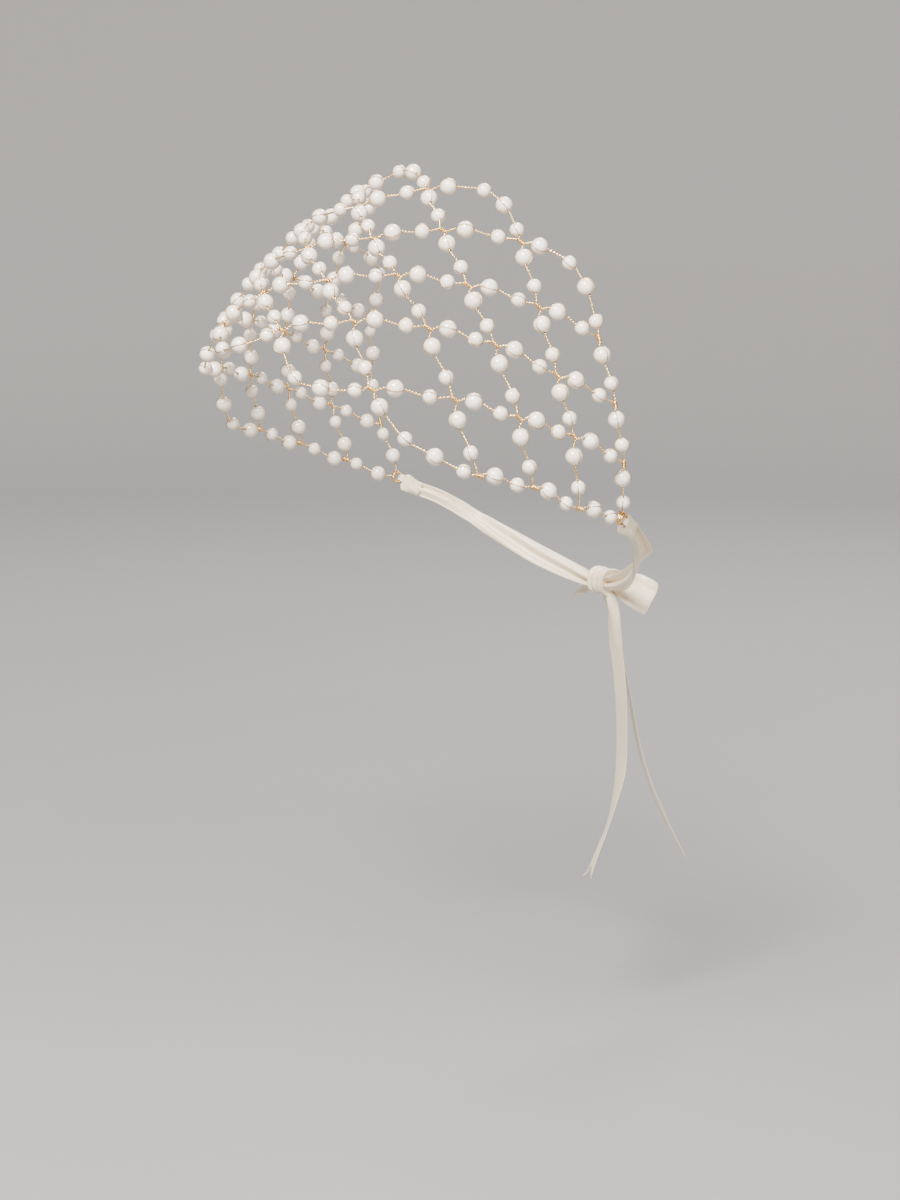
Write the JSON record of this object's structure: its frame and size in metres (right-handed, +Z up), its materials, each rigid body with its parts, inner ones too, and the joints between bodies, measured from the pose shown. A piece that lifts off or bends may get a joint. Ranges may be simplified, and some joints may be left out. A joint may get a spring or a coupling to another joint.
{
  "type": "beaded mesh headband",
  "caption": "Open net of wired pearls worn over the top of the head, with an end ring at each side and a ribbon tied in a bow at the nape.",
  "frame": {"origin": "the point of the wearer's head, on its middle plane, that the centre of the net rests on", "axes": "+Z up, -Y the way the wearer faces, +X the wearer's left"},
  "size_m": [0.1673, 0.2068, 0.2767],
  "materials": {
    "pearl": "nacre-like gloss, ivory white",
    "gold_wire": "bright twisted craft wire",
    "satin": "ivory satin ribbon"
  },
  "bodies": {
    "root": {"strand_front_left": "pearl", "strand_front_1": "pearl", "strand_front_2": "pearl", "strand_front_3": "pearl", "strand_rear_left": "pearl", "strand_rear_1": "pearl", "strand_rear_2": "pearl", "strand_rear_3": "pearl", "end_ring_left": "gold_wire", "end_ring_right": "gold_wire", "ring_knot_left": "satin", "ring_knot_right": "satin", "nape_ribbon_left": "satin", "nape_ribbon_right": "satin", "bow_knot": "satin", "bow_loop_left": "satin", "bow_loop_right": "satin", "ribbon_tail_left": "satin", "ribbon_tail_right": "satin"}
  },
  "joints": []
}
